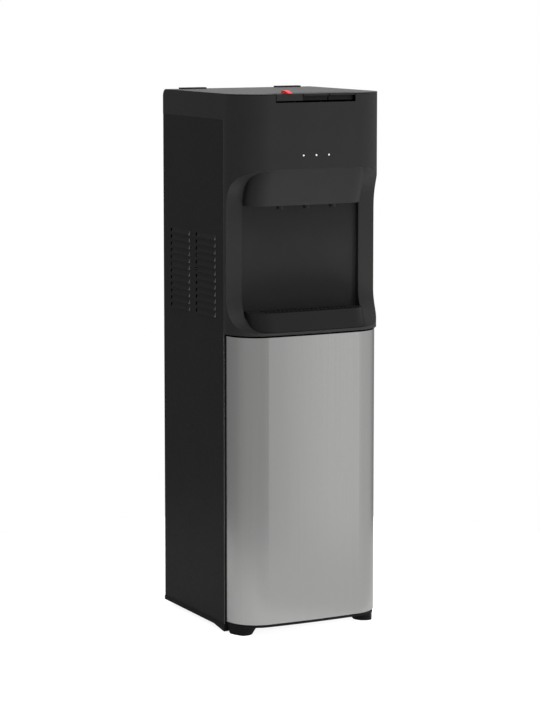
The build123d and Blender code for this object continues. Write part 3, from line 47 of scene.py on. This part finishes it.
# Camera, from a fit to the edges in the photograph: metres, degrees and millimetres
CAMERA_PLACE = (-2.2781, -4.4038, 1.2231)
CAMERA_TURN = (83.533, 0.0, -27.301)
CAMERA_LENS = 127.59
CAMERA_SENSOR = 36.0
CAMERA_SHIFT = -0.1111
CAMERA_REACH = 500.0

# Surfaces: the middle part of a noise that is spread, detail of each noise, and edges
NOISE_LOW = 0.25
NOISE_HIGH = 0.75
TINT_DETAIL = 3.0
GLOSS_DETAIL = 4.0
GRAIN_DETAIL = 2.0
EDGE_SAMPLES = 4
GLOW_COLOUR = (1.0, 0.97, 0.92, 1.0)
# Painted highlight: surfaces that face outwards and forwards, to either side, are made lighter, from where
# it starts to where it is full
HIGHLIGHT_FACING = (0.707, 0.707, 0.0)
HIGHLIGHT_FROM = 0.80
HIGHLIGHT_FULL = 0.95
SHARP_ANGLE = math.radians(32)

# Rear screws, in metres and degrees
SCREW_ROWS = 5
SCREW_STEPS = 32
SCREW_HEAD_R = 3.5 * MM
SCREW_HEAD_H = 2.2 * MM
SCREW_ROW_TURN = 37
SCREW_SIDE_TURN = 19
# Radius and place along the axis, both in millimetres, from the top of the head to the tip
SCREW_PROFILE = [
    (0.0, 2.2), (1.2, 2.14), (2.2, 1.85), (2.95, 1.4), (3.35, 0.8), (3.5, 0.3),
    (3.42, 0.0), (1.6, 0.0), (1.6, -3.6), (0.9, -5.0), (0.0, -5.2),
]
RECESS_ARM = 1.75 * MM
RECESS_HALF = 0.42 * MM
RECESS_TAPER = 0.24 / 0.42
RECESS_TOP = 3.0 * MM
RECESS_FLOOR = 0.7 * MM

# Drain cap, in metres
CAP_STEPS = 144
CAP_RIBS = 24
CAP_RIB = 0.8 * MM
CAP_BORE_R = 8.05 * MM
CAP_BORE_END = 2.2 * MM
CAP_DISH = 0.6 * MM
CAP_DISH_R = 0.55
CAP_RIM_R = 0.62
CAP_EDGE = 1.1 * MM
CAP_SHOULDER = 0.3 * MM
CAP_SHOULDER_DROP = 0.5 * MM
CAP_RIB_TOP = 1.3 * MM
CAP_RIB_FOOT = 1.6 * MM
CAP_SKIRT = 1.2 * MM

# Floor, in metres, and its light
FLOOR_R = 0.95
FLOOR_STEPS = 128
FLOOR_SINK = 0.0004
FLOOR_GLOW = 0.86
FLOOR_SCATTER = 0.31
FLOOR_GLOSSY_SHARE = 0.12

# World: light from everywhere, and soft strips as whether the full direction or only the heading
# counts, the side that they are on, where they start, where they are full, and their strength
WORLD_GLOSSY_SHARE = 0.1
AMBIENT = 0.22
LOBES = [
    (True, (0.0, 0.1, 1.0), 0.1, 1.0, 0.45),
    (True, (0.46, 0.85, 0.26), 0.90, 0.985, 0.46),
    (False, (0.9135, -0.4067, 0.0), 0.682, 0.832, 0.275),
    (False, (0.5177, -0.8556, 0.0), 0.975, 1.0, 0.28),
    (False, (0.707, -0.707, 0.0), -0.70, 1.0, 0.12),
    (False, (0.0, -1.0, 0.0), -0.30, 0.40, 0.11),
    (False, (-0.98, -0.17, 0.0), 0.20, 1.0, 0.06),
]

# Lamps: name, place, aim, width, height and power
SOFTBOXES = [
    ("key_box", (1.25, -1.35, 1.1), (0.05, -0.15, 0.6), 0.7, 1.8, 2.5),
    ("top_box", (0.1, -0.9, 2.6), (0.0, -0.1, 0.6), 1.6, 1.6, 75.0),
    ("low_box", (0.16, -0.50, 0.10), (-0.04, -0.15, 0.88), 0.8, 0.3, 17.0),
    ("fill_box", (-1.4, -3.2, 1.3), (0.0, 0.0, 0.5), 1.6, 2.2, 2.0),
    ("left_box", (-2.4, 0.5, 1.3), (0.0, 0.1, 0.55), 1.6, 1.6, 24.0),
    ("right_box", (2.4, 0.5, 1.3), (0.0, 0.1, 0.55), 1.6, 1.6, 24.0),
    ("rear_box", (0.3, 2.6, 1.5), (0.0, 0.1, 0.5), 1.6, 1.6, 24.0),
]


# Node helpers

def node(tree, kind, **inputs):
    """A node with some of its sockets set by name."""
    made = tree.nodes.new(kind)
    for name, value in inputs.items():
        made.inputs[name.replace("_", " ")].default_value = value
    return made


def operation(tree, kind, does):
    """A math or vector math node set to one operation."""
    made = tree.nodes.new(kind)
    made.operation = does
    return made


def noise(tree, vector, size_mm, detail):
    """Noise with features of about that size."""
    made = node(tree, "ShaderNodeTexNoise", Scale=1.0 / (size_mm * MM), Detail=detail)
    tree.links.new(vector, made.inputs["Vector"])
    return made.outputs["Fac"]


def spread(tree, value, low, high):
    """The middle part of a noise spread between two limits."""
    made = node(tree, "ShaderNodeMapRange", From_Min=NOISE_LOW, From_Max=NOISE_HIGH, To_Min=low, To_Max=high)
    tree.links.new(value, made.inputs["Value"])
    return made.outputs["Result"]


def object_place(tree, stretch):
    """The place on the piece, in metres, stretched for drawn or brushed grain."""
    coords = tree.nodes.new("ShaderNodeTexCoord")
    mapping = node(tree, "ShaderNodeMapping", Scale=stretch)
    tree.links.new(coords.outputs["Object"], mapping.inputs["Vector"])
    return mapping.outputs["Vector"]


def white_share(tree, glossy_share):
    """How much of the white surroundings a ray sees: all for the camera, a part for reflections."""
    rays = tree.nodes.new("ShaderNodeLightPath")
    seen = operation(tree, "ShaderNodeMath", "MAXIMUM")
    tree.links.new(rays.outputs["Is Camera Ray"], seen.inputs[0])
    tree.links.new(rays.outputs["Is Transmission Ray"], seen.inputs[1])
    share = operation(tree, "ShaderNodeMath", "MULTIPLY_ADD")
    share.inputs[1].default_value = glossy_share
    tree.links.new(rays.outputs["Is Glossy Ray"], share.inputs[0])
    tree.links.new(seen.outputs["Value"], share.inputs[2])
    return share.outputs["Value"]


# Finishes

def paint_edge_highlight(tree, shader, ramp, highlight_colour):
    """Painted highlight: a lighter colour on the surfaces and edges that face outwards and forwards, such as
    louver ends and the panel's front edge.
    """
    face = tree.nodes.new("ShaderNodeNewGeometry")
    across = operation(tree, "ShaderNodeVectorMath", "ABSOLUTE")
    tree.links.new(face.outputs["True Normal"], across.inputs[0])
    lean = operation(tree, "ShaderNodeVectorMath", "DOT_PRODUCT")
    lean.inputs[1].default_value = HIGHLIGHT_FACING
    tree.links.new(across.outputs["Vector"], lean.inputs[0])
    share = node(tree, "ShaderNodeMapRange", From_Min=HIGHLIGHT_FROM, From_Max=HIGHLIGHT_FULL)
    tree.links.new(lean.outputs["Value"], share.inputs["Value"])
    mix = tree.nodes.new("ShaderNodeMix")
    mix.data_type = "RGBA"
    mix.inputs["B"].default_value = (*highlight_colour, 1.0)
    tree.links.new(share.outputs["Result"], mix.inputs["Factor"])
    tree.links.new(ramp.outputs["Result"], mix.inputs["A"])
    tree.links.new(mix.outputs["Result"], shader.inputs["Base Color"])


def finish(name, colour, rough, metal=0.0, level=0.5, tint=0.06, tint_mm=60.0, vary=0.05, vary_mm=8.0,
           grain_mm=0.8, grain_height_mm=0.008, stretch=(1.0, 1.0, 1.0), edge_mm=0.5, glow=0.0,
           passing=0.0, highlight_colour=None):
    """A surface with its own mottling, uneven gloss, fine grain and softened edges."""
    material = bpy.data.materials.new(name)
    material.use_nodes = True
    tree = material.node_tree
    shader = tree.nodes["Principled BSDF"]
    place = object_place(tree, (1.0, 1.0, 1.0))
    drawn = object_place(tree, stretch)
    ramp = tree.nodes.new("ShaderNodeMix")
    ramp.data_type = "RGBA"
    ramp.inputs["A"].default_value = (*[c * (1.0 - tint) for c in colour], 1.0)
    ramp.inputs["B"].default_value = (*[min(c * (1.0 + tint), 1.0) for c in colour], 1.0)
    mottle = noise(tree, drawn, tint_mm, TINT_DETAIL)
    tree.links.new(spread(tree, mottle, 0.0, 1.0), ramp.inputs["Factor"])
    tree.links.new(ramp.outputs["Result"], shader.inputs["Base Color"])
    gloss = spread(tree, noise(tree, place, vary_mm, GLOSS_DETAIL), rough - vary, rough + vary)
    tree.links.new(gloss, shader.inputs["Roughness"])
    edge = node(tree, "ShaderNodeBevel", Radius=edge_mm * MM)
    edge.samples = EDGE_SAMPLES
    bump = node(tree, "ShaderNodeBump", Strength=1.0, Distance=grain_height_mm * MM)
    tree.links.new(noise(tree, drawn, grain_mm, GRAIN_DETAIL), bump.inputs["Height"])
    tree.links.new(edge.outputs["Normal"], bump.inputs["Normal"])
    tree.links.new(bump.outputs["Normal"], shader.inputs["Normal"])
    shader.inputs["Metallic"].default_value = metal
    shader.inputs["Specular IOR Level"].default_value = level
    shader.inputs["Transmission Weight"].default_value = passing
    if glow:
        shader.inputs["Emission Color"].default_value = GLOW_COLOUR
        shader.inputs["Emission Strength"].default_value = glow
    # Painted highlight: a lighter colour on the surfaces that face outwards and forwards
    if highlight_colour:
        paint_edge_highlight(tree, shader, ramp, highlight_colour)
    material.diffuse_color = (*colour, 1.0)
    return material


FINISHES = {
    "cover_black": finish("cover_black", (0.0085, 0.0085, 0.0088), 0.34, level=0.20, grain_mm=3.0,
                          grain_height_mm=0.002, edge_mm=1.0),
    "front_black": finish("front_black", (0.0105, 0.0105, 0.0103), 0.5, level=0.30, grain_mm=0.9,
                          grain_height_mm=0.006, edge_mm=0.4),
    "niche_black": finish("niche_black", (0.010, 0.010, 0.0098), 0.5, level=0.25, grain_mm=0.9,
                          grain_height_mm=0.01, edge_mm=0.4),
    "tray_black": finish("tray_black", (0.0045, 0.0045, 0.0044), 0.42, level=0.24, grain_mm=0.9,
                         grain_height_mm=0.004),
    # The side panels get a painted highlight: a lighter colour where they face outwards and forwards
    "side_black": finish("side_black", (0.0113, 0.0113, 0.0116), 0.45, level=0.07, grain_mm=4.0,
                         grain_height_mm=0.004, edge_mm=0.4, highlight_colour=(0.08, 0.08, 0.08)),
    "key_black": finish("key_black", (0.010, 0.010, 0.010), 0.5, level=0.28),
    "grille_black": finish("grille_black", (0.006, 0.006, 0.006), 0.3, level=0.4),
    "base_black": finish("base_black", (0.003, 0.003, 0.003), 0.6, level=0.18, grain_mm=0.6,
                         grain_height_mm=0.02, edge_mm=0.6),
    "inner_black": finish("inner_black", (0.02, 0.02, 0.02), 0.55, level=0.4, grain_mm=0.7,
                          grain_height_mm=0.02),
    "silver": finish("silver", (0.515, 0.515, 0.509), 0.25, metal=1.0, tint=0.02, tint_mm=1.6, vary=0.02,
                     grain_mm=1.2, grain_height_mm=0.0003, stretch=(1.0, 1.0, 0.004), edge_mm=0.6),
    "red": finish("red", (0.58, 0.017, 0.021), 0.3, edge_mm=0.6),
    "lens": finish("lens", (0.48, 0.48, 0.46), 0.2, glow=0.06, edge_mm=0.2),
    "white": finish("white", (0.66, 0.66, 0.64), 0.45, grain_mm=0.7, grain_height_mm=0.015),
    "liner": finish("liner", (0.21, 0.21, 0.205), 0.45, grain_mm=0.7, grain_height_mm=0.015),
    "grey_steel": finish("grey_steel", (0.46, 0.47, 0.48), 0.42, metal=0.9, tint=0.07, tint_mm=12.0,
                         vary=0.06, vary_mm=10.0),
    "stainless": finish("stainless", (0.56, 0.56, 0.55), 0.3, metal=1.0, stretch=(0.02, 1.0, 1.0),
                        grain_mm=0.5, grain_height_mm=0.002, edge_mm=0.3),
    "zinc": finish("zinc", (0.50, 0.50, 0.51), 0.34, metal=1.0, tint=0.12, tint_mm=2.0, edge_mm=0.2),
    "foam": finish("foam", (0.74, 0.73, 0.69), 0.9, level=0.2, tint=0.08, tint_mm=4.0, grain_mm=3.5,
                   grain_height_mm=0.5, edge_mm=2.0),
    "copper": finish("copper", (0.56, 0.26, 0.14), 0.32, metal=1.0, tint=0.18, tint_mm=12.0),
    "rubber": finish("rubber", (0.014, 0.014, 0.014), 0.75, level=0.3, grain_mm=0.5, grain_height_mm=0.03),
    "hose": finish("hose", (0.62, 0.62, 0.58), 0.35, passing=0.3),
    "board": finish("board", (0.005, 0.014, 0.009), 0.35, tint=0.3, tint_mm=3.0),
}

WEARS = {
    "cover_black": ["top_cover"],
    "front_black": ["front_fascia", "key_hot"],
    "tray_black": ["drip_tray"],
    "niche_black": ["splash_panel"],
    "side_black": ["side_panel_left", "side_panel_right"],
    "key_black": ["key_room", "key_cold"],
    "grille_black": ["drip_grille", "spouts"],
    "inner_black": ["compressor", "condenser", "wall_spacers", "switch_bezel", "key_tray",
                    "key_switches", "water_pump", "door_cap_top", "door_cap_bottom", "rocker_cool"],
    "base_black": ["base_pan", "front_foot_left", "front_foot_right", "rear_feet"],
    "silver": ["door_skin"],
    "red": ["child_lock", "rocker_heat"],
    "lens": ["indicator_lenses"],
    "white": ["bottle_probe", "power_box", "tap_valves", "drain_port"],
    "liner": ["compartment_liner", "door_inner"],
    "grey_steel": ["back_panel", "mid_shelf", "tank_shelf"],
    "stainless": ["hot_tank", "heater_band", "cold_tank", "key_rod", "hinge_lower", "hinge_upper"],
    "foam": ["foam_tub", "foam_lid"],
    "copper": ["evaporator_sleeve", "suction_line", "discharge_line"],
    "rubber": ["compressor_grommets", "door_magnet", "cord_gland"],
    "hose": ["tap_hoses", "pump_hose", "feed_hose"],
    "board": ["switch_board", "lamp_board"],
}
for key, wearers in WEARS.items():
    for name in wearers:
        slots = nodes[name].data.materials
        slots.clear()
        slots.append(FINISHES[key])


# Turned pieces that stand for plain solids

def turned(bm, rings, steps, ribs=0):
    """Faces round the Y axis through rings of radius, place along Y, and depth of the ribs."""
    rows = []
    for radius, along, depth in rings:
        row = []
        for step in range(steps if radius else 1):
            angle = 2 * math.pi * step / steps
            reach = radius - depth * (0.5 - 0.5 * math.cos(ribs * angle))
            row.append(bm.verts.new((reach * math.cos(angle), along, reach * math.sin(angle))))
        rows.append(row)
    for low, high in zip(rows, rows[1:]):
        for step in range(steps):
            after = (step + 1) % steps
            corners = [
                low[step % len(low)], low[after % len(low)],
                high[after % len(high)], high[step % len(high)],
            ]
            unique = list(dict.fromkeys(corners))
            if len(unique) > 2:
                bm.faces.new(unique)


def closed_mesh(name, bm):
    """A mesh from a bmesh, with its faces turned outwards."""
    bmesh.ops.recalc_face_normals(bm, faces=bm.faces)
    mesh = bpy.data.meshes.new(name)
    bm.to_mesh(mesh)
    bm.free()
    return mesh


def placed(name, data):
    """An object in the scene for a mesh, lamp or camera."""
    made = bpy.data.objects.new(name, data)
    scene.collection.objects.link(made)
    return made


def piece(name, bm, material, body, slot, *stands_for):
    """A finished piece from a bmesh, riding on a body."""
    mesh = closed_mesh(name, bm)
    mesh.shade_smooth()
    mesh.set_sharp_from_angle(angle=SHARP_ANGLE)
    mesh.materials.append(material)
    made = placed(name, mesh)
    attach(made, body)
    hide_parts(*stands_for)


def screw_mesh():
    """One pan-head screw with a cross recess, its seat at the origin and its head towards +Y."""
    head = bmesh.new()
    turned(head, [(radius * MM, along * MM, 0.0) for radius, along in SCREW_PROFILE], SCREW_STEPS)
    cutter = bmesh.new()
    arm, half = RECESS_ARM, RECESS_HALF
    outline = [(half, arm), (half, half), (arm, half), (arm, -half), (half, -half), (half, -arm),
               (-half, -arm), (-half, -half), (-arm, -half), (-arm, half), (-half, half), (-half, arm)]
    top = [cutter.verts.new((x, RECESS_TOP, z)) for x, z in outline]
    low = [cutter.verts.new((x * RECESS_TAPER, RECESS_FLOOR, z * RECESS_TAPER)) for x, z in outline]
    cutter.faces.new(top)
    cutter.faces.new(list(reversed(low)))
    for step in range(len(outline)):
        after = (step + 1) % len(outline)
        cutter.faces.new([top[step], low[step], low[after], top[after]])
    blank = placed("screw_blank", closed_mesh("screw_blank", head))
    recess = placed("screw_recess", closed_mesh("screw_recess", cutter))
    cut = blank.modifiers.new("recess", "BOOLEAN")
    cut.object = recess
    cut.operation = "DIFFERENCE"
    cut.solver = "EXACT"
    bpy.context.view_layer.update()
    done = bpy.data.meshes.new_from_object(blank.evaluated_get(bpy.context.evaluated_depsgraph_get()))
    for shape in (blank, recess):
        bpy.data.objects.remove(shape)
    return done


low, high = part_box("back_screws")
one = screw_mesh()
screws = bmesh.new()
for side in (-1, 1):
    for row in range(SCREW_ROWS):
        z = low.z + SCREW_HEAD_R + (high.z - low.z - 2 * SCREW_HEAD_R) * row / (SCREW_ROWS - 1)
        place = Matrix.Translation((side * (high.x - SCREW_HEAD_R), high.y - SCREW_HEAD_H, z))
        turn = Matrix.Rotation(math.radians(SCREW_ROW_TURN * row + SCREW_SIDE_TURN * side), 4, "Y")
        copy = one.copy()
        copy.transform(place @ turn)
        screws.from_mesh(copy)
        bpy.data.meshes.remove(copy)
bpy.data.meshes.remove(one)
piece("rear_screws", screws, FINISHES["zinc"], "cabinet", "stainless", "back_screws")

low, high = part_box("drain_cap")
radius = (high.x - low.x) / 2
y0, y1 = low.y, high.y
rings = [
    (0.0, y1 - CAP_DISH, 0.0),
    (radius * CAP_DISH_R, y1 - CAP_DISH, 0.0),
    (radius * CAP_RIM_R, y1, 0.0),
    (radius - CAP_EDGE, y1, 0.0),
    (radius - CAP_SHOULDER, y1 - CAP_SHOULDER_DROP, CAP_SHOULDER),
    (radius, y1 - CAP_RIB_TOP, CAP_RIB),
    (radius, y0 + CAP_RIB_FOOT, CAP_RIB),
    (radius, y0 + CAP_SKIRT, 0.0),
    (radius, y0, 0.0),
    (CAP_BORE_R, y0, 0.0),
    (CAP_BORE_R, y1 - CAP_BORE_END, 0.0),
    (0.0, y1 - CAP_BORE_END, 0.0),
]
cap = bmesh.new()
turned(cap, rings, CAP_STEPS, CAP_RIBS)
middle = Vector(((low.x + high.x) / 2, 0.0, (low.z + high.z) / 2))
bmesh.ops.translate(cap, verts=cap.verts, vec=middle)
piece("ribbed_cap", cap, FINISHES["white"], "cap", "white_plastic", "drain_cap")


# Floor

def floor_material():
    """White to the camera, with the shadow kept; its own light falls on nothing."""
    material = bpy.data.materials.new("floor")
    material.use_nodes = True
    tree = material.node_tree
    tree.nodes.clear()
    light = operation(tree, "ShaderNodeMath", "MULTIPLY")
    light.inputs[1].default_value = FLOOR_GLOW
    tree.links.new(white_share(tree, FLOOR_GLOSSY_SHARE), light.inputs[0])
    glow = tree.nodes.new("ShaderNodeEmission")
    tree.links.new(light.outputs["Value"], glow.inputs["Strength"])
    matt = node(tree, "ShaderNodeBsdfDiffuse", Color=(FLOOR_SCATTER, FLOOR_SCATTER, FLOOR_SCATTER, 1.0))
    both = tree.nodes.new("ShaderNodeAddShader")
    out = tree.nodes.new("ShaderNodeOutputMaterial")
    tree.links.new(glow.outputs["Emission"], both.inputs[0])
    tree.links.new(matt.outputs["BSDF"], both.inputs[1])
    tree.links.new(both.outputs["Shader"], out.inputs["Surface"])
    return material


mesh = bpy.data.meshes.new("floor")
turns = [2 * math.pi * step / FLOOR_STEPS for step in range(FLOOR_STEPS)]
corners = [(FLOOR_R * math.cos(turn), FLOOR_R * math.sin(turn), 0.0) for turn in turns]
mesh.from_pydata(corners, [], [tuple(range(FLOOR_STEPS))])
mesh.materials.append(floor_material())
floor = placed("floor", mesh)
floor.location.z = -FLOOR_SINK


# World: a white background to the camera, and a soft studio round the object

def lobe(tree, direction, towards, start, end, strength):
    """Soft light from one side of the studio."""
    dot = operation(tree, "ShaderNodeVectorMath", "DOT_PRODUCT")
    dot.inputs[1].default_value = Vector(towards).normalized()
    tree.links.new(direction, dot.inputs[0])
    ramp = node(tree, "ShaderNodeMapRange", From_Min=start, From_Max=end, To_Min=0.0, To_Max=strength)
    ramp.interpolation_type = "SMOOTHSTEP"
    tree.links.new(dot.outputs["Value"], ramp.inputs["Value"])
    return ramp.outputs["Result"]


world = bpy.data.worlds.new("studio")
world.use_nodes = True
scene.world = world
tree = world.node_tree
tree.nodes.clear()
coords = tree.nodes.new("ShaderNodeTexCoord")
level = operation(tree, "ShaderNodeVectorMath", "MULTIPLY")
level.inputs[1].default_value = (1.0, 1.0, 0.0)
heading = operation(tree, "ShaderNodeVectorMath", "NORMALIZE")
tree.links.new(coords.outputs["Generated"], level.inputs[0])
tree.links.new(level.outputs["Vector"], heading.inputs[0])
total = None
for overhead, towards, start, end, strength in LOBES:
    direction = coords.outputs["Generated"] if overhead else heading.outputs["Vector"]
    add = operation(tree, "ShaderNodeMath", "ADD")
    tree.links.new(lobe(tree, direction, towards, start, end, strength), add.inputs[0])
    if total is None:
        add.inputs[1].default_value = AMBIENT
    else:
        tree.links.new(total, add.inputs[1])
    total = add.outputs["Value"]
studio = tree.nodes.new("ShaderNodeBackground")
tree.links.new(total, studio.inputs["Strength"])
white = node(tree, "ShaderNodeBackground", Color=(1.0, 1.0, 1.0, 1.0), Strength=1.0)
mix = tree.nodes.new("ShaderNodeMixShader")
out = tree.nodes.new("ShaderNodeOutputWorld")
tree.links.new(white_share(tree, WORLD_GLOSSY_SHARE), mix.inputs["Fac"])
tree.links.new(studio.outputs["Background"], mix.inputs[1])
tree.links.new(white.outputs["Background"], mix.inputs[2])
tree.links.new(mix.outputs["Shader"], out.inputs["Surface"])


# Lamps, which light surfaces but show in no reflection

for name, place, aim, width, height, power in SOFTBOXES:
    lamp = bpy.data.lights.new(name, "AREA")
    lamp.shape = "RECTANGLE"
    lamp.size = width
    lamp.size_y = height
    lamp.energy = power
    holder = placed(name, lamp)
    holder.location = place
    holder.rotation_euler = (Vector(aim) - Vector(place)).to_track_quat("-Z", "Y").to_euler()
    holder.visible_glossy = False


# Camera and colour

camera = bpy.data.cameras.new("camera")
camera.lens = CAMERA_LENS
camera.sensor_width = CAMERA_SENSOR
camera.shift_y = CAMERA_SHIFT
camera.clip_end = CAMERA_REACH
holder = placed("camera", camera)
holder.location = CAMERA_PLACE
holder.rotation_euler = [math.radians(a) for a in CAMERA_TURN]
scene.camera = holder
scene.view_settings.view_transform = "Standard"

bpy.context.view_layer.update()
